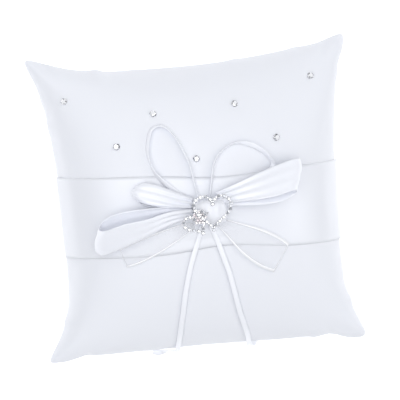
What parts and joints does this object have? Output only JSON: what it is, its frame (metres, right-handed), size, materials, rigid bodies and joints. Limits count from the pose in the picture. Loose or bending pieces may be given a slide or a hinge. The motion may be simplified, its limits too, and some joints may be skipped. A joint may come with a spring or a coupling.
{
  "type": "ring bearer pillow",
  "caption": "Square white satin cushion with pointed corners, a wide sash, a ribbon bow with a linked-heart stone brooch, and narrow ribbon tails that hold the rings.",
  "frame": {"origin": "middle of the cover's footprint on the surface that the pillow lies on, back panel down", "axes": "+Z out of the front panel, +Y towards the cover's top edge, +X along its width, towards the right satin loop"},
  "size_m": [0.198, 0.1954, 0.0917],
  "materials": {
    "cover_satin": "soft matt satin, white",
    "fibre_filling": "loose polyester fibre",
    "seam_thread": "spun polyester thread",
    "ribbon_satin": "glossy woven-edge satin ribbon, white",
    "ribbon_organza": "sheer organza ribbon, white",
    "brooch_metal": "polished bright plate",
    "clear_crystal": "faceted, foil-backed"
  },
  "bodies": {
    "pillow": {"back_panel": "cover_satin", "bow_knot": "ribbon_satin", "brooch_back": "brooch_metal", "filling": "fibre_filling", "front_panel": "cover_satin", "heart_frame_large": "brooch_metal", "heart_frame_small": "brooch_metal", "large_heart_stone_01": "clear_crystal", "large_heart_stone_02": "clear_crystal", "large_heart_stone_03": "clear_crystal", "large_heart_stone_04": "clear_crystal", "large_heart_stone_05": "clear_crystal", "large_heart_stone_06": "clear_crystal", "large_heart_stone_07": "clear_crystal", "large_heart_stone_08": "clear_crystal", "large_heart_stone_09": "clear_crystal", "large_heart_stone_10": "clear_crystal", "large_heart_stone_11": "clear_crystal", "large_heart_stone_12": "clear_crystal", "large_heart_stone_13": "clear_crystal", "large_heart_stone_14": "clear_crystal", "large_heart_stone_15": "clear_crystal", "large_heart_stone_16": "clear_crystal", "large_heart_stone_17": "clear_crystal", "large_heart_stone_18": "clear_crystal", "large_heart_stone_19": "clear_crystal", "large_heart_stone_20": "clear_crystal", "large_heart_stone_21": "clear_crystal", "large_heart_stone_22": "clear_crystal", "organza_tail_left": "ribbon_organza", "organza_tail_right": "ribbon_organza", "rhinestone_1": "clear_crystal", "rhinestone_2": "clear_crystal", "rhinestone_3": "clear_crystal", "rhinestone_4": "clear_crystal", "rhinestone_5": "clear_crystal", "rhinestone_6": "clear_crystal", "rhinestone_7": "clear_crystal", "ribbon_ear_left": "ribbon_satin", "ribbon_ear_right": "ribbon_satin", "sash": "ribbon_satin", "satin_loop_lower_left": "ribbon_satin", "satin_loop_right": "ribbon_satin", "satin_loop_upper_left": "ribbon_satin", "seam_thread": "seam_thread", "small_heart_stone_01": "clear_crystal", "small_heart_stone_02": "clear_crystal", "small_heart_stone_03": "clear_crystal", "small_heart_stone_04": "clear_crystal", "small_heart_stone_05": "clear_crystal", "small_heart_stone_06": "clear_crystal", "small_heart_stone_07": "clear_crystal", "small_heart_stone_08": "clear_crystal", "small_heart_stone_09": "clear_crystal", "small_heart_stone_10": "clear_crystal", "small_heart_stone_11": "clear_crystal", "small_heart_stone_12": "clear_crystal"},
    "ring_left": {"ring_ribbon_left": "ribbon_satin"},
    "ring_right": {"ring_ribbon_right": "ribbon_satin"}
  },
  "joints": [
    {"name": "ring_left_lift", "type": "hinge", "parent": "pillow", "child": "ring_left", "pos_m": [-0.0026, -0.0126, 0.0774], "axis": [-1, 0, 0], "range_deg": [0, 60]},
    {"name": "ring_right_lift", "type": "hinge", "parent": "pillow", "child": "ring_right", "pos_m": [0.0026, -0.0126, 0.0774], "axis": [-1, 0, 0], "range_deg": [0, 60]}
  ]
}
